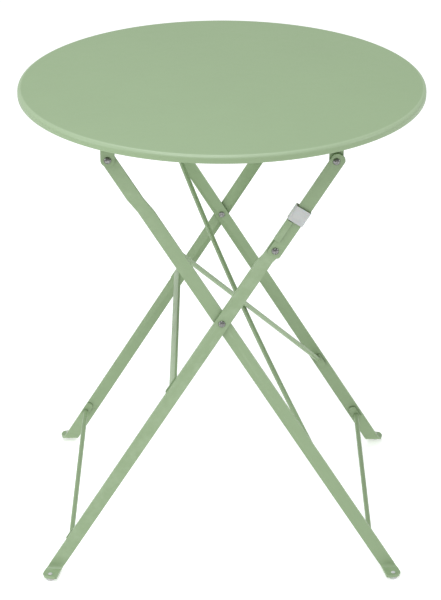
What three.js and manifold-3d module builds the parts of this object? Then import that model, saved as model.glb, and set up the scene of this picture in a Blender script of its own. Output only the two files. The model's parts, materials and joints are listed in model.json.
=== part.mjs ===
// Round folding bistro table in powder-coated sheet and strip steel.
// Millimetres, +Z up, origin on the floor under the middle of the top.
// Two pairs of crossed strip legs hang from two rails under a pressed round top. The inner frame
// hangs straight from the left rail. The outer frame is held to the right rail by two break links,
// so the top folds down against the closed legs once the lock ring is clear.
import * as THREE from 'three';
import { mergeVertices } from 'three/addons/utils/BufferGeometryUtils.js';
import Module from 'manifold-3d';

const wasm = await Module();
wasm.setup();

// ---- driving dimensions -------------------------------------------------------------------
const GAP = 0.3; // between pieces that touch
const CUT_DEPTH = 60; // of every cutter, more than any piece it passes through
const TOP = { radius: 300, height: 710, sheet: 1.2, rim: 11.5, round: 5.5, hem: 5 };
const STRIP = { width: 20, thick: 4 }; // every leg, rail and link is this flat bar
const FULL_ROUND = STRIP.width / 2 - 0.01; // corner radius of a full round end
const PIVOT = { x: 159, z: 673 }; // leg and link pivots in the rail ears
const CROSS_Z = 416.5; // height of the crossing rivets
const LINK_LENGTH = PIVOT.x; // half the pivot span, so that the linkage folds flat
const LINK = { width: 19.6, shift: 1.2, below: 9.5, above: 11.5, round: 5, topRound: 7.5 };
// distance of each strip layer from the middle of the table
const LAYER = { inner: 203.5, outer: 208, innerTop: 214.5, ear: 219, link: 223.5 };
const INNER_JOGGLE = { from: 230, to: 204 }; // along the leg from the crossing
const OUTER_JOGGLE = { from: -10, to: -28 }; // along the leg from the break pivot
const FOOT = { bend: 9, splay: 0.22, tab: 18, endRound: 7, padAt: 11, padHeight: 4.5 };
// the outer leg's square end, and how far it runs on past the break pivot
const TONGUE = { past: 50.5, leftRound: 1.5, rightRound: 4 };
const LUG = { from: 14, short: 0.5, thick: 1.5, left: -10.6, reach: -2.4 };
const RING = {
  start: 51.5, length: 23.6, wall: 1.2, round: 1.2,
  left: -10.9, right: 11.3, back: 216.7, front: 227.6,
};
const RIVET = { shank: 3, hole: 3.1, head: 5.1, dome: 2.8, tail: 4.5, tailHeight: 1.8 };
const PAD = { radius: 6.5, stem: 2.2, hole: 2.6, head: 3.4, dome: 1.5 };
const ROD = { radius: 3.75, tabWidth: 12, tabThick: 2.6, tabLength: 17 };
// rod ends, along the inner leg from the crossing: the first rod runs straight from front to rear,
// and the second bows aside to pass it, which tilts its ends
const BRACE = { front: 135, rear: -301, bowedFront: -290, bowedRear: 141, bow: 8.4, endTilt: 0.168 };
const FOOT_ROD = { inner: -424, outer: -422, shift: 5 }; // along each leg from the crossing
const CROSS_BAR = {
  at: -119, width: 16, thick: 4, shift: 10, round: 0.8, short: 1,
  tabLength: 20, tabThick: 3, tabEdge: -3.6, tabRound: 2, tabInset: 0.2,
};

const GREEN = { color: 0x9db48c, roughness: 0.5, metalness: 0.1 };
const STEEL = { color: 0x8d918c, roughness: 0.3, metalness: 0.9 };
const WHITE = { color: 0xe9e9ea, roughness: 0.5, metalness: 0 };
const GREY = { color: 0xc9cbc8, roughness: 0.6, metalness: 0 };

// ---- derived geometry ---------------------------------------------------------------------
const legReach = Math.hypot(PIVOT.x, PIVOT.z - CROSS_Z);
const lean = Math.atan2(PIVOT.x, PIVOT.z - CROSS_Z); // of every leg, from the vertical
const breakAt = legReach - LINK_LENGTH; // break pivot, along the outer leg from the crossing
const half = STRIP.thick / 2;
const tabHeight = FOOT.padHeight + GAP + half;
const FRONT = new THREE.Vector3(0, -1, 0);

// Unit vector up a leg: side -1 is the inner frame, which leans left, and +1 the outer frame.
function upLeg(side) {
  return new THREE.Vector3(side * Math.sin(lean), 0, Math.cos(lean));
}

// A point on a leg's middle line, a signed distance along it from the crossing.
function onLeg(side, distance, layer) {
  const point = upLeg(side).multiplyScalar(distance);
  return point.add(new THREE.Vector3(0, -layer, CROSS_Z));
}

// ---- solid helpers ------------------------------------------------------------------------
function toSolid(geometry) {
  const bare = geometry.clone();
  bare.deleteAttribute('normal');
  bare.deleteAttribute('uv');
  const merged = mergeVertices(bare, 1e-4);
  return new wasm.Manifold(new wasm.Mesh({
    numProp: 3,
    vertProperties: new Float32Array(merged.attributes.position.array),
    triVerts: new Uint32Array(merged.index.array),
  }));
}

function toGeometry(solid) {
  const mesh = solid.getMesh();
  const geometry = new THREE.BufferGeometry();
  geometry.setAttribute('position', new THREE.BufferAttribute(mesh.vertProperties, 3));
  geometry.setIndex(new THREE.BufferAttribute(mesh.triVerts, 1));
  return geometry;
}

function cut(geometry, cutters) {
  const solid = cutters.reduce((left, cutter) => left.subtract(toSolid(cutter)), toSolid(geometry));
  return toGeometry(solid);
}

function join(geometries) {
  return toGeometry(geometries.map(toSolid).reduce((left, right) => left.add(right)));
}

// The same piece on the other side of the table.
function mirrored(geometry) {
  const copy = geometry.index ? geometry.clone() : mergeVertices(geometry);
  copy.scale(1, -1, 1);
  const index = copy.index.array;
  for (let i = 0; i < index.length; i += 3) {
    [index[i], index[i + 1]] = [index[i + 1], index[i]];
  }
  return copy;
}

// Extrudes a shape and stands it at a place: its x runs along u, its y along v, its depth along u x v.
function extruded(shape, depth, place, u, v, curveSegments = 8) {
  const geometry = new THREE.ExtrudeGeometry(shape, { depth, bevelEnabled: false, curveSegments });
  const basis = new THREE.Matrix4().makeBasis(u, v, new THREE.Vector3().crossVectors(u, v));
  return geometry.applyMatrix4(basis.setPosition(place));
}

// Extrudes towards the front a shape whose y runs along a direction in the leg plane.
function facingFront(shape, depth, place, along, curveSegments) {
  const across = new THREE.Vector3().crossVectors(along, FRONT);
  return extruded(shape, depth, place, across, along, curveSegments);
}

// A round hole through every front layer at one pivot.
function pivotHole(x, z, radius = RIVET.hole) {
  return new THREE.CylinderGeometry(radius, radius, CUT_DEPTH, 24).translate(x, -LAYER.ear, z);
}

// Everything past a rounded strip end: half-width w, corner radii at both corners.
function pastEnd(w, leftRound, rightRound) {
  const shape = new THREE.Shape();
  const far = 60;
  shape.moveTo(-far, -leftRound);
  shape.lineTo(-w, -leftRound);
  shape.absarc(-w + leftRound, -leftRound, leftRound, Math.PI, Math.PI / 2, true);
  shape.absarc(w - rightRound, -rightRound, rightRound, Math.PI / 2, 0, true);
  shape.lineTo(far, -rightRound);
  shape.lineTo(far, far);
  shape.lineTo(-far, far);
  shape.closePath();
  return shape;
}

// ---- legs ---------------------------------------------------------------------------------
// A flat bar bent along lines parallel to X. Each station is a point of its middle line, and the
// bar keeps its thickness round each bend because the offsets are mitred.
function bentStrip(stations) {
  const halfWidth = STRIP.width / 2 / Math.cos(lean);
  const rows = stations.length;
  const geometry = new THREE.BoxGeometry(2 * halfWidth, rows - 1, STRIP.thick, 1, rows - 1, 1);
  const offsets = stations.map((station, i) => mitre(stations, i));
  const position = geometry.attributes.position;
  for (let i = 0; i < position.count; i += 1) {
    const row = Math.round((rows - 1) / 2 - position.getY(i));
    const { x, y, z } = stations[row];
    const side = position.getZ(i) > 0 ? 1 : -1;
    position.setXYZ(i, x + position.getX(i), y + side * offsets[row].y, z + side * offsets[row].z);
  }
  return geometry;
}

// Half the bar's thickness at one station, in the YZ plane, towards the front of a hanging bar.
function mitre(stations, i) {
  const before = stations[Math.max(i - 1, 0)];
  const here = stations[i];
  const after = stations[Math.min(i + 1, stations.length - 1)];
  const first = normalYZ(i > 0 ? before : here, i > 0 ? here : after);
  const last = i === stations.length - 1;
  const second = normalYZ(last ? before : here, last ? here : after);
  const sum = first.clone().add(second);
  return sum.multiplyScalar(STRIP.thick / sum.lengthSq());
}

function normalYZ(from, to) {
  const run = new THREE.Vector3(0, to.y - from.y, to.z - from.z).normalize();
  return new THREE.Vector3(0, run.z, -run.y);
}

// Middle line of a leg from its top down to the end of its foot tab, which is bent forwards.
function legStations(side, top, topLayer, layer, joggle) {
  const stations = [
    onLeg(side, top, topLayer),
    onLeg(side, joggle.from, topLayer),
    onLeg(side, joggle.to, layer),
    onLeg(side, (tabHeight + FOOT.bend - CROSS_Z) / Math.cos(lean), layer),
  ];
  const steps = 6;
  for (let i = 1; i <= steps; i += 1) {
    const turn = (i / steps) * Math.PI / 2;
    const out = FOOT.bend * (1 - Math.cos(turn));
    stations.push(footPoint(side, layer, out, tabHeight + FOOT.bend * (1 - Math.sin(turn))));
  }
  stations.push(footPoint(side, layer, FOOT.bend + FOOT.tab + STRIP.width, tabHeight));
  return stations;
}

// A point on the foot's middle line: it leans with the leg and splays a little as it comes forwards.
function footPoint(side, layer, out, z) {
  const x = -side * (Math.tan(lean) * (CROSS_Z - z) + FOOT.splay * out);
  return new THREE.Vector3(x, -layer - out, z);
}

// Direction of a foot tab in plan: out from the leg and towards the front.
function tabDirection(side) {
  return new THREE.Vector3(-side * FOOT.splay, -1, 0).normalize();
}

// A point on the foot tab's middle line, from the end of the foot's bend.
function onTab(side, stations, distance) {
  const bendEnd = stations[stations.length - 2];
  return bendEnd.clone().addScaledVector(tabDirection(side), distance);
}

function frontLeg(side, stations, endCutters) {
  const along = tabDirection(side);
  const across = new THREE.Vector3().crossVectors(along, new THREE.Vector3(0, 0, 1));
  const end = onTab(side, stations, FOOT.tab);
  const outerCorner = FOOT.endRound;
  const innerCorner = 1.5;
  const rounds = side > 0 ? [innerCorner, outerCorner] : [outerCorner, innerCorner];
  const tabEnd = extruded(pastEnd(STRIP.width / 2, ...rounds), CUT_DEPTH,
    end.clone().setZ(-CUT_DEPTH / 2), across, along);
  const pad = onTab(side, stations, FOOT.padAt);
  const padHole = new THREE.CylinderGeometry(PAD.hole, PAD.hole, 20, 20)
    .rotateX(Math.PI / 2).translate(pad.x, pad.y, pad.z);
  return cut(bentStrip(stations), [tabEnd, padHole, pivotHole(0, CROSS_Z), ...endCutters]);
}

const innerStations = legStations(-1, legReach + 20, LAYER.innerTop, LAYER.inner, INNER_JOGGLE);
const outerJoggle = { from: breakAt + OUTER_JOGGLE.from, to: breakAt + OUTER_JOGGLE.to };
const outerStations = legStations(1, breakAt + TONGUE.past, LAYER.ear, LAYER.outer, outerJoggle);

// Inner leg: full round end in the left rail's ear.
function innerLeg() {
  const along = upLeg(-1);
  const end = onLeg(-1, legReach + STRIP.width / 2, LAYER.inner - CUT_DEPTH / 3);
  const roundEnd = facingFront(
    pastEnd(STRIP.width / 2, FULL_ROUND, FULL_ROUND), CUT_DEPTH, end, along);
  return frontLeg(-1, innerStations, [roundEnd, pivotHole(-PIVOT.x, PIVOT.z)]);
}

// Outer leg: square tongue past the break pivot, with a folded lug that stops the link.
function outerLeg() {
  const along = upLeg(1);
  const end = onLeg(1, breakAt + TONGUE.past, LAYER.outer - CUT_DEPTH / 3);
  const squareEnd = facingFront(
    pastEnd(STRIP.width / 2, TONGUE.leftRound, TONGUE.rightRound), CUT_DEPTH, end, along);
  const pivot = onLeg(1, breakAt, LAYER.ear);
  const leg = frontLeg(1, outerStations, [squareEnd, pivotHole(pivot.x, pivot.z)]);
  return join([leg, lug()]);
}

// Section of the lug: up from the leg's left edge and over the front of the link.
function lug() {
  const { from, short, thick, left, reach } = LUG;
  const back = LAYER.ear - thick;
  const front = LAYER.link + half + GAP + thick;
  const shape = new THREE.Shape();
  shape.moveTo(left, back);
  shape.lineTo(left + thick, back);
  shape.lineTo(left + thick, front - thick);
  shape.lineTo(reach, front - thick);
  shape.lineTo(reach, front);
  shape.lineTo(left + thick, front);
  shape.absarc(left + thick, front - thick, thick, Math.PI / 2, Math.PI, false);
  shape.closePath();
  const top = TONGUE.past - short;
  return acrossStrip(shape, top - from, breakAt + top);
}

// Extrudes a section drawn across the outer leg (x across it, y out to the front) down the leg.
function acrossStrip(shape, length, top) {
  const along = upLeg(1);
  const across = new THREE.Vector3().crossVectors(along, FRONT);
  return extruded(shape, length, onLeg(1, top, 0), across, FRONT, 4);
}

// ---- links and lock ring ------------------------------------------------------------------
function breakLink() {
  const { width, shift, below, above, round, topRound } = LINK;
  const left = shift - width / 2;
  const right = shift + width / 2;
  const top = LINK_LENGTH + above;
  const shape = new THREE.Shape();
  shape.moveTo(left + round, -below);
  shape.lineTo(right - round, -below);
  shape.absarc(right - round, -below + round, round, -Math.PI / 2, 0, false);
  shape.absarc(right - topRound, top - topRound, topRound, 0, Math.PI / 2, false);
  shape.absarc(left + topRound, top - topRound, topRound, Math.PI / 2, Math.PI, false);
  shape.lineTo(left, -below + round);
  shape.absarc(left + round, -below + round, round, Math.PI, Math.PI * 1.5, false);
  const place = onLeg(1, breakAt, LAYER.link - half);
  const bar = facingFront(shape, STRIP.thick, place, upLeg(1), 4);
  return cut(bar, [pivotHole(place.x, place.z), pivotHole(PIVOT.x, PIVOT.z)]);
}

function roundedBox(left, right, back, front, round) {
  const shape = new THREE.Shape();
  shape.absarc(left + round, back + round, round, Math.PI, Math.PI * 1.5, false);
  shape.absarc(right - round, back + round, round, -Math.PI / 2, 0, false);
  shape.absarc(right - round, front - round, round, 0, Math.PI / 2, false);
  shape.absarc(left + round, front - round, round, Math.PI / 2, Math.PI, false);
  shape.closePath();
  return shape;
}

function lockRing() {
  const { start, length, wall, round, left, right, back, front } = RING;
  const outside = roundedBox(left - wall, right + wall, back - wall, front + wall, round + wall);
  outside.holes.push(roundedBox(left, right, back, front, round));
  return acrossStrip(outside, length, breakAt + start + length);
}

// ---- top and rails ------------------------------------------------------------------------
// Pressed sheet top: rounded rim, short skirt and a hem turned in at the bottom.
function tableTop() {
  const { radius, height, sheet, rim, round, hem } = TOP;
  const bottom = height - rim;
  const points = [new THREE.Vector2(0, height - sheet)];
  const arc = (r, steps, from, to) => {
    for (let i = 0; i <= steps; i += 1) {
      const turn = from + (to - from) * (i / steps);
      points.push(new THREE.Vector2(
        radius - round + r * Math.cos(turn), height - round + r * Math.sin(turn)));
    }
  };
  arc(round - sheet, 4, Math.PI / 2, 0);
  points.push(new THREE.Vector2(radius - sheet, bottom + sheet));
  points.push(new THREE.Vector2(radius - hem, bottom + sheet));
  points.push(new THREE.Vector2(radius - hem, bottom));
  points.push(new THREE.Vector2(radius - 0.8, bottom));
  points.push(new THREE.Vector2(radius, bottom + 0.8));
  arc(round, 5, 0, Math.PI / 2);
  points.push(new THREE.Vector2(0, height));
  return new THREE.LatheGeometry(points, 112).rotateX(Math.PI / 2);
}

// Flat bar under the sheet with both ends bent down as pivot ears.
function rail(side) {
  const out = LAYER.ear + half;
  const top = TOP.height - TOP.sheet - GAP;
  const low = PIVOT.z - STRIP.width / 2;
  const bend = 6;
  const within = bend - STRIP.thick;
  const shape = new THREE.Shape();
  shape.moveTo(-out, low);
  shape.lineTo(-out + STRIP.thick, low);
  shape.absarc(-out + bend, top - bend, within, Math.PI, Math.PI / 2, true);
  shape.absarc(out - bend, top - bend, within, Math.PI / 2, 0, true);
  shape.lineTo(out - STRIP.thick, low);
  shape.lineTo(out, low);
  shape.absarc(out - bend, top - bend, bend, 0, Math.PI / 2, false);
  shape.absarc(-out + bend, top - bend, bend, Math.PI / 2, Math.PI, false);
  shape.closePath();
  const place = new THREE.Vector3(side * PIVOT.x - STRIP.width / 2, 0, 0);
  const bar = extruded(shape, STRIP.width, place,
    new THREE.Vector3(0, 1, 0), new THREE.Vector3(0, 0, 1), 4);
  const earEnd = facingFront(pastEnd(STRIP.width / 2, FULL_ROUND, FULL_ROUND), 2 * out + CUT_DEPTH,
    new THREE.Vector3(side * PIVOT.x, out + CUT_DEPTH / 2, low), new THREE.Vector3(0, 0, -1));
  const bore = new THREE.CylinderGeometry(RIVET.hole, RIVET.hole, 2 * out + CUT_DEPTH, 24)
    .translate(side * PIVOT.x, 0, PIVOT.z);
  return cut(bar, [earEnd, bore]);
}

// ---- cross members ------------------------------------------------------------------------
// Flattened end of a rod: a round-ended tab on the inside of a leg, running up it or down it.
function weldTab(side, distance, shift, layer, up) {
  const round = ROD.tabWidth / 2;
  const shape = new THREE.Shape();
  shape.moveTo(-round, -round);
  shape.lineTo(round, -round);
  shape.absarc(0, ROD.tabLength - round, round, 0, Math.PI, false);
  shape.closePath();
  const inside = layer - half - GAP - ROD.tabThick;
  const across = new THREE.Vector3().crossVectors(upLeg(side), FRONT);
  const place = onLeg(side, distance, inside).addScaledVector(across, shift);
  const tab = facingFront(shape, ROD.tabThick, place, upLeg(side), 6);
  return up ? tab : turned(tab, place);
}

// The same geometry turned half round about a line through a place, towards the front.
function turned(geometry, place) {
  return geometry.translate(-place.x, 0, -place.z).rotateY(Math.PI).translate(place.x, 0, place.z);
}

function roundBar(from, to, bow) {
  const section = new THREE.Shape().absarc(0, 0, ROD.radius, 0, 2 * Math.PI);
  const middle = from.clone().add(to).multiplyScalar(0.5).addScaledVector(bow, 2);
  const path = new THREE.QuadraticBezierCurve3(from, middle, to);
  const steps = bow.lengthSq() > 0 ? 14 : 1;
  return new THREE.ExtrudeGeometry(section, { extrudePath: path, steps, curveSegments: 12 });
}

// A rod from a front leg to a rear leg of one frame, at two distances along the legs.
function crossRod(side, frontAt, rearAt, shift, layer, bow = new THREE.Vector3(), tilt = 0) {
  const across = new THREE.Vector3().crossVectors(upLeg(side), FRONT);
  const slope = Math.atan2(Math.abs(frontAt - rearAt), 2 * layer) + tilt;
  const inside = layer - half - GAP - ROD.tabThick / 2 - ROD.radius * Math.sin(slope);
  const from = onLeg(side, frontAt, inside).addScaledVector(across, shift);
  const to = onLeg(side, rearAt, -inside).addScaledVector(across, shift);
  const frontTab = weldTab(side, frontAt, shift, layer, frontAt >= rearAt);
  const rearTab = mirrored(weldTab(side, rearAt, shift, layer, rearAt >= frontAt));
  return join([roundBar(from, to, bow), frontTab, rearTab]);
}

// Flat bar across the outer legs, on their upper edges, with both ends bent down the legs.
function crossBar() {
  const { at, width, thick, shift, round, short } = CROSS_BAR;
  const { tabLength, tabThick, tabEdge, tabRound, tabInset } = CROSS_BAR;
  const left = -shift - thick / 2;
  const across = new THREE.Vector3().crossVectors(upLeg(1), FRONT);
  const inside = LAYER.outer - half - GAP;
  const shape = roundedBox(left, left + thick, -width / 2, width / 2, round);
  const length = 2 * (inside - short);
  const bar = extruded(shape, length, onLeg(1, at, -length / 2), across, upLeg(1), 2);
  const outline = roundedBox(
    left + tabInset, tabEdge, -tabLength, width / 2 - tabInset, tabRound);
  const tab = facingFront(outline, tabThick, onLeg(1, at, inside - tabThick), upLeg(1), 2);
  return join([bar, tab, mirrored(tab)]);
}

// ---- rivets and foot pads -----------------------------------------------------------------
// Profile of a revolved fastener: a domed head, a shank and a flat tail, from the head down.
function fastener(parts, place, direction) {
  const points = [new THREE.Vector2(0, parts.headTop + parts.dome)];
  for (let i = 1; i <= 4; i += 1) {
    const turn = (i / 4) * Math.PI / 2;
    points.push(new THREE.Vector2(
      parts.head * Math.sin(turn), parts.headTop + parts.dome * Math.cos(turn)));
  }
  points.push(new THREE.Vector2(parts.shank, parts.headTop));
  if (parts.tail) {
    points.push(new THREE.Vector2(parts.shank, parts.tailTop));
    points.push(new THREE.Vector2(parts.tail, parts.tailTop));
    points.push(new THREE.Vector2(parts.tail, parts.bottom));
  } else {
    points.push(new THREE.Vector2(parts.shank, parts.bottom));
  }
  points.push(new THREE.Vector2(0, parts.bottom));
  const geometry = new THREE.LatheGeometry(points.reverse(), 20);
  const turn = new THREE.Quaternion().setFromUnitVectors(new THREE.Vector3(0, 1, 0), direction);
  return geometry.applyQuaternion(turn).translate(place.x, place.y, place.z);
}

// Rivet through the front layers between two distances from the middle of the table.
function pivotRivet(x, z, outerFace, innerFace) {
  const { shank, head, dome, tail, tailHeight } = RIVET;
  const headTop = outerFace + GAP;
  const parts = {
    headTop, dome, head, shank, tail, tailTop: innerFace - GAP, bottom: innerFace - GAP - tailHeight,
  };
  return fastener(parts, new THREE.Vector3(x, 0, z), FRONT);
}

// The left top pivot parts when the table folds, so its rivet is made in two halves that only
// face each other: a head in the rail's ear and a tail in the end of the inner leg.
function partingRivetHead() {
  const { shank, head, dome } = RIVET;
  const parts = {
    headTop: LAYER.ear + half + GAP, dome, head, shank, bottom: LAYER.ear - half + GAP / 2,
  };
  return fastener(parts, new THREE.Vector3(-PIVOT.x, 0, PIVOT.z), FRONT);
}

function partingRivetTail() {
  const { shank, tail, tailHeight } = RIVET;
  const parts = {
    headTop: half + GAP - LAYER.innerTop, dome: tailHeight, head: tail, shank,
    bottom: GAP / 2 - half - LAYER.innerTop,
  };
  return fastener(parts, new THREE.Vector3(-PIVOT.x, 0, PIVOT.z), FRONT.clone().negate());
}

function footPad(side, stations) {
  const place = onTab(side, stations, FOOT.padAt);
  const top = tabHeight + half + GAP;
  const parts = {
    headTop: top, dome: PAD.dome, head: PAD.head, shank: PAD.stem,
    tail: PAD.radius, tailTop: FOOT.padHeight, bottom: 0,
  };
  return fastener(parts, place.setZ(0), new THREE.Vector3(0, 0, 1));
}

// ---- assembly -----------------------------------------------------------------------------
const table = new THREE.Group();

function add(name, geometry, finish) {
  const mesh = new THREE.Mesh(geometry, new THREE.MeshStandardMaterial(finish));
  mesh.name = name;
  table.add(mesh);
}

// A front piece and its mirror image at the rear.
function addPair(name, geometry, finish) {
  add(`${name}_front`, geometry, finish);
  add(`${name}_rear`, mirrored(geometry), finish);
}

const breakPivot = onLeg(1, breakAt, 0);
const braceBow = new THREE.Vector3(-Math.cos(lean), 0, -Math.sin(lean)).multiplyScalar(BRACE.bow);

add('table_top', tableTop(), GREEN);
add('left_rail', rail(-1), GREEN);
add('right_rail', rail(1), GREEN);
addPair('inner_leg', innerLeg(), GREEN);
addPair('outer_leg', outerLeg(), GREEN);
addPair('break_link', breakLink(), GREEN);
add('lock_ring', lockRing(), WHITE);
add('brace_rod_straight', crossRod(-1, BRACE.front, BRACE.rear, 0, LAYER.inner), GREEN);
add('brace_rod_bowed',
  crossRod(-1, BRACE.bowedFront, BRACE.bowedRear, 0, LAYER.inner, braceBow, BRACE.endTilt), GREEN);
add('inner_foot_rod', crossRod(-1, FOOT_ROD.inner, FOOT_ROD.inner, 0, LAYER.inner), GREEN);
add('outer_foot_rod',
  crossRod(1, FOOT_ROD.outer, FOOT_ROD.outer, -FOOT_ROD.shift, LAYER.outer), GREEN);
add('outer_cross_bar', crossBar(), GREEN);
addPair('crossing_rivet', pivotRivet(0, CROSS_Z, LAYER.outer + half, LAYER.inner - half), STEEL);
addPair('link_rivet',
  pivotRivet(breakPivot.x, breakPivot.z, LAYER.link + half, LAYER.ear - half), STEEL);
addPair('right_ear_rivet', pivotRivet(PIVOT.x, PIVOT.z, LAYER.link + half, LAYER.ear - half), STEEL);
addPair('left_ear_rivet', partingRivetHead(), STEEL);
addPair('inner_leg_rivet', partingRivetTail(), STEEL);
addPair('inner_foot_pad', footPad(-1, innerStations), GREY);
addPair('outer_foot_pad', footPad(1, outerStations), GREY);

export default table;
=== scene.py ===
"""Folding bistro table in sage green powder-coated steel, seen from the front and above.

Every visible piece stands for one CAD node. Strips, rails, rods and the ring are copies of their
nodes with rounded edges, and the top, rivets and pads are turned again in finer steps. Metres.
"""
import math

import bmesh
import bpy
from mathutils import Matrix, Vector
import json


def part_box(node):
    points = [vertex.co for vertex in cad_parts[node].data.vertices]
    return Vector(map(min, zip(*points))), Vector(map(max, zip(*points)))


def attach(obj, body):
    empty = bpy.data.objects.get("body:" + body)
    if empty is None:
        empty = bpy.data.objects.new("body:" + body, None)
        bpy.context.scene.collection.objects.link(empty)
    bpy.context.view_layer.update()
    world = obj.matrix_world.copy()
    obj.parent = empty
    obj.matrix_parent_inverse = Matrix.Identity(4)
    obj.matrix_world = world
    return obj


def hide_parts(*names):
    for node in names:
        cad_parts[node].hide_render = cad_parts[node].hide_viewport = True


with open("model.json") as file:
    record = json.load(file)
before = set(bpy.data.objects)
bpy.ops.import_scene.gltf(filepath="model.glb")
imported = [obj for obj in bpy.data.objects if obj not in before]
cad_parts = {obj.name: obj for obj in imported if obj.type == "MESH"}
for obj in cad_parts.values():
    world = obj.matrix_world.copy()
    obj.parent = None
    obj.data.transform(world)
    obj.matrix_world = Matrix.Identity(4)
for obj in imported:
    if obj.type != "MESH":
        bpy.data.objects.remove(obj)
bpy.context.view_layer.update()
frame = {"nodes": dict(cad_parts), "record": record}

# linear colours of the powder coat: its face, worn edges that also carry a painted highlight,
# painted shade in the corners and a painted highlight line round the rim
GREEN = (0.275, 0.378, 0.208)
GREEN_PALE = (0.345, 0.450, 0.275)
GREEN_SHADE = (0.120, 0.185, 0.085)
RIM_HIGHLIGHT = (0.400, 0.500, 0.330)
CLOUDY = 0.98  # darkest part of the coat's cloudy tone, as a share of GREEN

# where the painted highlight line lies on the rim: from where to where it fades in, outwards and
# upwards
RIM_OUT = (0.2940, 0.2958)
RIM_UP = (0.7048, 0.7080)
RIM_STRENGTH = 0.55

# section of the pressed top: sheet, outer radius of the rim's bend, hem, and lower corner
TOP = {"sheet": 0.0012, "bend": 0.0055, "hem": 0.005, "corner": 0.0008}
RIVET = {"head": 0.0051, "dome": 0.0028, "shank": 0.003, "tail": 0.0045, "tail_height": 0.0018}
HEAD_OVER = 0.0048  # a half rivet wider than this is a head, and a narrower one is a tail
HALF_SHANK_HEIGHT = 0.001
SHARP, SOFT = 0.0002, 0.0003  # small chamfers on the fasteners
PAD = {"disc": 0.0045, "button": 0.0015, "button_radius": 0.0034, "stem": 0.0022}
TOP_STEPS, FASTENER_STEPS = 256, 48  # facets round each turned piece

# width and number of segments of the rounded edge, by the start of the node's name
EDGES = {
    "left_rail": (0.0008, 3),
    "right_rail": (0.0008, 3),
    "inner_leg_front": (0.0009, 3),
    "inner_leg_rear": (0.0009, 3),
    "outer_leg": (0.0006, 3),
    "break_link": (0.0009, 3),
    "lock_ring": (0.0003, 2),
    "brace_rod": (0.0004, 2),
    "inner_foot_rod": (0.0004, 2),
    "outer_foot_rod": (0.0004, 2),
    "outer_cross_bar": (0.0006, 2),
}


# ---- node tree helpers --------------------------------------------------------------------
class Tree:
    """A material's node tree, with short calls to add and link nodes."""

    def __init__(self, name):
        self.material = bpy.data.materials.new(name)
        self.material.use_nodes = True
        self.nodes = self.material.node_tree.nodes
        self.links = self.material.node_tree.links
        self.shader = self.nodes["Principled BSDF"]
        coordinates = self.nodes.new("ShaderNodeTexCoord")
        self.place = coordinates.outputs["Object"]

    def add(self, kind, inputs=(), **settings):
        node = self.nodes.new(kind)
        for key, value in settings.items():
            setattr(node, key, value)
        for key, value in dict(inputs).items():
            if isinstance(value, bpy.types.NodeSocket):
                self.links.new(value, node.inputs[key])
            else:
                node.inputs[key].default_value = value
        return node

    def noise(self, scale, detail=3.0, roughness=0.5):
        inputs = {"Vector": self.place, "Scale": scale, "Detail": detail, "Roughness": roughness}
        return self.add("ShaderNodeTexNoise", inputs).outputs["Fac"]

    def ramp(self, factor, low, high, dark=0.0, light=1.0):
        inputs = {"Value": factor, "From Min": low, "From Max": high,
                  "To Min": dark, "To Max": light}
        return self.add("ShaderNodeMapRange", inputs).outputs["Result"]

    def mix(self, factor, first, second):
        node = self.add("ShaderNodeMix", data_type="RGBA")
        sockets = (node.inputs[0], node.inputs[6], node.inputs[7])
        for socket, value in zip(sockets, (factor, first, second)):
            if isinstance(value, bpy.types.NodeSocket):
                self.links.new(value, socket)
            else:
                socket.default_value = value
        return node.outputs[2]

    def bump(self, height, strength, distance, before=None):
        inputs = {"Height": height, "Strength": strength, "Distance": distance}
        if before is not None:
            inputs["Normal"] = before
        return self.add("ShaderNodeBump", inputs).outputs["Normal"]

    def set(self, **inputs):
        for key, value in inputs.items():
            socket = self.shader.inputs[key.replace("_", " ")]
            if isinstance(value, bpy.types.NodeSocket):
                self.links.new(value, socket)
            else:
                socket.default_value = value
        return self.material


def colour(rgb):
    """The same colour with full alpha, as sockets take it."""
    return (*rgb, 1.0)


def painted_rim_highlight(t):
    """How strongly a point takes the painted highlight line round the upper part of the rolled rim.
    """
    split = t.add("ShaderNodeSeparateXYZ", {0: t.place})
    flat = t.add("ShaderNodeCombineXYZ", {0: split.outputs[0], 1: split.outputs[1]})
    length = t.add("ShaderNodeVectorMath", {0: flat.outputs[0]}, operation="LENGTH")
    outer = t.ramp(length.outputs["Value"], *RIM_OUT)
    upper = t.ramp(split.outputs[2], *RIM_UP, 0.0, RIM_STRENGTH)
    return t.add("ShaderNodeMath", {0: outer, 1: upper}, operation="MULTIPLY").outputs[0]


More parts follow.
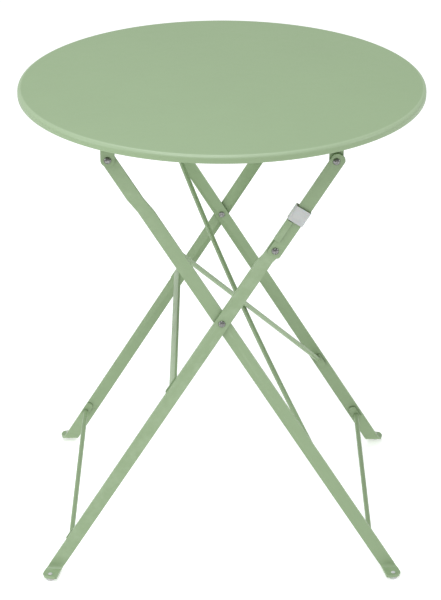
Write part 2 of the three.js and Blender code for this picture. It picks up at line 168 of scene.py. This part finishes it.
def powder_coat(name, peel):
    """Satin powder coat: cloudy tone, orange peel, paler on the edges from wear and a painted edge
    highlight, painted shade darkening the corners and creases, and a painted highlight line round
    the rim.
    """
    t = Tree(name)
    cloudy = t.ramp(t.noise(5.0, 2.0), 0.35, 0.65)
    tone = t.mix(cloudy, colour(GREEN), colour([CLOUDY * c for c in GREEN]))
    speck = t.ramp(t.noise(900.0, 2.0), 0.62, 0.72, 0.0, 0.18)
    tone = t.mix(speck, tone, colour(GREEN_PALE))
    geometry = t.add("ShaderNodeNewGeometry")
    # pale edges: wear in patches, and also a painted highlight where the edges catch the light
    edge = t.ramp(geometry.outputs["Pointiness"], 0.52, 0.60, 0.0, 0.55)
    patchy = t.ramp(t.noise(60.0, 4.0, 0.6), 0.40, 0.70)
    worn_and_lit_edge = t.add("ShaderNodeMath", {0: edge, 1: patchy}, operation="MULTIPLY").outputs[0]
    tone = t.mix(worn_and_lit_edge, tone, colour(GREEN_PALE))
    # painted shade in concave creases
    painted_crease_shade = t.ramp(geometry.outputs["Pointiness"], 0.42, 0.49, 0.5, 0.0)
    tone = t.mix(painted_crease_shade, tone, colour(GREEN_SHADE))
    # painted shade in corners and gaps between parts, from ambient occlusion
    nearby = t.add("ShaderNodeAmbientOcclusion", {"Distance": 0.005}, samples=8)
    painted_corner_shade = t.ramp(nearby.outputs["AO"], 0.30, 0.85, 0.85, 0.0)
    tone = t.mix(painted_corner_shade, tone, colour(GREEN_SHADE))
    # painted highlight line round the rolled rim, standing in for a reflection
    tone = t.mix(painted_rim_highlight(t), tone, colour(RIM_HIGHLIGHT))
    rough = t.ramp(t.noise(40.0, 3.0), 0.3, 0.7, 0.40, 0.50)
    peel_bump = t.bump(t.noise(650.0, 2.0), peel, 0.0004)
    wave = t.bump(t.noise(90.0, 1.0), 0.015, 0.0006, peel_bump)
    return t.set(Base_Color=tone, Roughness=rough, Normal=wave,
                 Coat_Weight=0.12, Coat_Roughness=0.25)


def moulded_plastic(name, light, shade, grain):
    """Plain moulded plastic with a faint mottle between two tones."""
    t = Tree(name)
    tone = t.mix(t.ramp(t.noise(120.0, 3.0), 0.35, 0.7), colour(light), colour(shade))
    rough = t.ramp(t.noise(300.0, 2.0), 0.3, 0.7, 0.42, 0.58)
    surface = t.bump(t.noise(1500.0, 2.0), grain, 0.0002)
    return t.set(Base_Color=tone, Roughness=rough, Normal=surface,
                 Subsurface_Weight=0.08, Subsurface_Scale=0.002)


def rivet_steel(name):
    """Steel of the rivets: two greys in fine patches, and a slightly uneven shine."""
    t = Tree(name)
    grime = t.ramp(t.noise(400.0, 4.0, 0.6), 0.4, 0.7)
    tone = t.mix(grime, colour((0.30, 0.30, 0.29)), colour((0.10, 0.10, 0.095)))
    rough = t.ramp(t.noise(700.0, 3.0), 0.3, 0.7, 0.18, 0.36)
    return t.set(Base_Color=tone, Roughness=rough, Metallic=1.0,
                 Normal=t.bump(t.noise(900.0, 3.0), 0.15, 0.0003))


MATERIALS = {
    "painted_steel": powder_coat("painted_steel", 0.10),
    "white_plastic": moulded_plastic("white_plastic", (0.55, 0.56, 0.55), (0.49, 0.50, 0.49), 0.10),
    "rivet_steel": rivet_steel("rivet_steel"),
    "grey_plastic": moulded_plastic("grey_plastic", (0.62, 0.63, 0.61), (0.50, 0.51, 0.49), 0.15),
}


# ---- pieces -------------------------------------------------------------------------------
def edge_of(node):
    """Width and segments of a node's rounded edge, or None for a node that is turned again."""
    for start, edge in EDGES.items():
        if node.startswith(start):
            return edge
    return None


def linked(name, data):
    """A new object in the scene."""
    thing = bpy.data.objects.new(name, data)
    bpy.context.scene.collection.objects.link(thing)
    return thing


def cleaned_copy(node, name):
    """A new object with the node's shape, its flat faces made whole so edges can be rounded."""
    mesh = frame["nodes"][node].data.copy()
    mesh.name = name
    work = bmesh.new()
    work.from_mesh(mesh)
    bmesh.ops.remove_doubles(work, verts=work.verts, dist=1e-6)
    bmesh.ops.dissolve_limit(
        work, angle_limit=math.radians(0.4), verts=work.verts, edges=work.edges)
    work.to_mesh(mesh)
    work.free()
    return linked(name, mesh)


def smooth_shaded(mesh, angle):
    """Smooth shading, except over edges sharper than an angle in degrees."""
    mesh.polygons.foreach_set("use_smooth", [True] * len(mesh.polygons))
    mesh.set_sharp_from_angle(angle=math.radians(angle))


def stand_in(piece, node, slot, body):
    """Gives a piece its material, and makes it stand for a CAD node and ride on its body."""
    piece.data.materials.clear()
    piece.data.materials.append(MATERIALS[slot])
    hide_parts(node)
    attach(piece, body)


def rounded_piece(node, slot, body, width, segments):
    """A node's shape with its sharp edges rounded."""
    piece = cleaned_copy(node, f"{node}_piece")
    bevel = piece.modifiers.new("edge", "BEVEL")
    bevel.width = width
    bevel.segments = segments
    bevel.limit_method = "ANGLE"
    bevel.angle_limit = math.radians(38)
    bevel.harden_normals = True
    bevel.miter_outer = "MITER_ARC"
    smooth_shaded(piece.data, 40)
    stand_in(piece, node, slot, body)


# ---- turned pieces ------------------------------------------------------------------------
def arc(centre, radius, start, end, steps):
    """Points of a circular arc as (distance from the axis, height), with angles in degrees."""
    turns = [math.radians(start + (end - start) * i / steps) for i in range(steps + 1)]
    return [(centre[0] + radius * math.cos(a), centre[1] + radius * math.sin(a)) for a in turns]


def turned_mesh(name, profile, around):
    """Mesh of a closed profile turned about Z. Points on the axis become single vertices."""
    mesh = bpy.data.meshes.new(name)
    work = bmesh.new()
    rings = []
    for radius, height in profile:
        count = around if radius > 0 else 1
        turns = [2 * math.pi * k / around for k in range(count)]
        rings.append([
            work.verts.new((radius * math.cos(a), radius * math.sin(a), height)) for a in turns])
    for low, high in zip(rings, rings[1:]):
        for k in range(around):
            after = (k + 1) % around
            corners = [low[k % len(low)], low[after % len(low)],
                       high[after % len(high)], high[k % len(high)]]
            unique = [v for i, v in enumerate(corners) if v not in corners[:i]]
            if len(unique) > 2:
                work.faces.new(unique)
    bmesh.ops.recalc_face_normals(work, faces=work.faces)
    work.to_mesh(mesh)
    work.free()
    return mesh


def turned_piece(node, slot, body, profile, around, place, toward):
    """A profile turned about its height, set at a place with its height in a direction."""
    mesh = turned_mesh(f"{node}_piece", profile, around)
    mesh.transform(Vector((0, 0, 1)).rotation_difference(Vector(toward)).to_matrix().to_4x4())
    mesh.transform(Matrix.Translation(place))
    smooth_shaded(mesh, 35)
    stand_in(linked(f"{node}_piece", mesh), node, slot, body)


def top_profile(low, high):
    """Pressed sheet top in section: flat sheet, rounded rim, short skirt and turned-in hem."""
    radius, top, bottom = high.x, high.z, low.z
    sheet, bend, hem, corner = (TOP[key] for key in ("sheet", "bend", "hem", "corner"))
    centre = (radius - bend, top - bend)
    inside = arc(centre, bend - sheet, 90, 0, 10)
    skirt = [(radius - sheet, bottom + sheet), (radius - hem, bottom + sheet),
             (radius - hem, bottom)]
    fold = arc((radius - corner, bottom + corner), corner, -90, 0, 4)
    outside = arc(centre, bend, 0, 90, 14)
    return [(0, top - sheet)] + inside + skirt + fold + outside + [(0, top)]


def dome_arc(radius, height, under, first):
    """A flattened quarter round in steps of 10 degrees, up to just short of its crown."""
    turns = [math.radians(10 * i) for i in range(first, 9)]
    return [(radius * math.cos(a), under + height * math.sin(a)) for a in turns]


def domed_profile(head, dome, shank, tail, tail_height, length):
    """Fastener in section, from the bottom of its tail (height 0) to the crown of its head."""
    under = length - dome
    low = [(0, 0), (tail - SOFT, 0), (tail, SOFT)]
    if tail > shank:
        low += [(tail, tail_height - SHARP), (tail - SHARP, tail_height), (shank, tail_height)]
    rim = [(shank, under), (head - SHARP, under), (head, under + SHARP)]
    return low + rim + dome_arc(head, dome, under, 1) + [(0, length)]


def rivet_profile(node, low, high):
    """A whole rivet, or one half of a left top pivot: a head or a tail on a plain shank."""
    length = high.y - low.y
    if not node.startswith(("left_ear", "inner_leg")):
        return domed_profile(length=length, **RIVET)
    radius = (high.x - low.x) / 2
    dome = RIVET["dome"] if radius > HEAD_OVER else RIVET["tail_height"]
    return domed_profile(radius, dome, RIVET["shank"], RIVET["shank"], HALF_SHANK_HEIGHT, length)


def pad_profile(low, high):
    """Moulded foot: a wide soft-edged disc on the floor, with a small button on top of the tab."""
    disc, button, stem = PAD["disc"], PAD["button"], PAD["stem"]
    top = high.z - low.z
    foot = [(0, 0), (0.0055, 0), (0.0062, 0.0003), (0.0065, 0.001), (0.0065, disc - 0.0008),
            (0.0062, disc - 0.0002), (0.0056, disc), (stem, disc), (stem, top - button)]
    return foot + dome_arc(PAD["button_radius"], button, top - button, 0) + [(0, top)]


def turned_node(node, slot, body):
    """Turns the top, a foot pad or a rivet again, at its node's place."""
    low, high = (Vector(corner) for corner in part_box(node))
    middle = (low + high) / 2
    place, toward, steps = (middle.x, middle.y, low.z), (0, 0, 1), FASTENER_STEPS
    if node == "table_top":
        profile, place, steps = top_profile(low, high), (0, 0, 0), TOP_STEPS
    elif "foot_pad" in node:
        profile = pad_profile(low, high)
    else:
        # every other head faces away from the table; the inner leg's half rivets face its middle
        forwards = node.endswith("front") != node.startswith("inner_leg")
        profile, toward = rivet_profile(node, low, high), (0, -1 if forwards else 1, 0)
        place = (middle.x, high.y if forwards else low.y, middle.z)
    turned_piece(node, slot, body, profile, steps, place, toward)


slots = {part["node"]: part["material_slot"] for part in frame["record"]["subparts"]}
for body, members in frame["record"]["behaviour"]["bodies"].items():
    for node in members:
        edge = edge_of(node)
        if edge:
            rounded_piece(node, slots[node], body, *edge)
        else:
            turned_node(node, slots[node], body)


# ---- camera, floor and light --------------------------------------------------------------
LOOKING_DOWN = 24.67  # degrees
MIDDLE = Vector((0.0, 0.0, 0.4))  # every light faces this point
DAYLIGHT = (0.93, 0.97, 1.0)
WHITE = (1.0, 1.0, 1.0)
FLOOR_DROP = 0.0005  # keeps the floor clear of the foot pads

camera_data = bpy.data.cameras.new("camera")
camera_data.lens = 139.6
camera_data.sensor_width = 36.0
camera = linked("camera", camera_data)
camera.location = (-0.002, -3.239, 1.846)
camera.rotation_euler = (math.radians(90 - LOOKING_DOWN), 0.0, 0.0)
bpy.context.scene.camera = camera


def area_light(name, place, size, power):
    """A round soft light of a diameter and a power in watts, facing the middle of the table."""
    data = bpy.data.lights.new(name, "AREA")
    data.shape = "DISK"
    data.size = size
    data.energy = power
    data.color = DAYLIGHT
    light = linked(name, data)
    light.location = place
    light.rotation_euler = (MIDDLE - Vector(place)).to_track_quat("-Z", "Y").to_euler()


area_light("key", (-0.5, -1.5, 3.4), 1.9, 55)
area_light("above", (-0.3, 1.2, 3.2), 1.6, 26)
area_light("left", (-2.6, -0.9, 1.3), 1.2, 20)
area_light("right", (2.6, -0.5, 1.5), 1.2, 15)

world = bpy.data.worlds.new("studio")
world.use_nodes = True
background = world.node_tree.nodes["Background"]
background.inputs["Color"].default_value = colour(WHITE)
background.inputs["Strength"].default_value = 0.44
bpy.context.scene.world = world
bpy.context.scene.view_settings.view_transform = "Standard"

floor_mesh = bpy.data.meshes.new("floor")
floor_shape = bmesh.new()
bmesh.ops.create_grid(floor_shape, x_segments=4, y_segments=4, size=30.0)
floor_shape.to_mesh(floor_mesh)
floor_shape.free()
floor = linked("floor", floor_mesh)
floor.location = (0.0, 0.0, -FLOOR_DROP)
paper = Tree("paper")
floor_mesh.materials.append(paper.set(
    Base_Color=paper.mix(paper.noise(3.0), colour((0.90, 0.90, 0.90)), colour((0.88, 0.88, 0.88))),
    Roughness=0.9, Emission_Color=colour(WHITE), Emission_Strength=0.45))
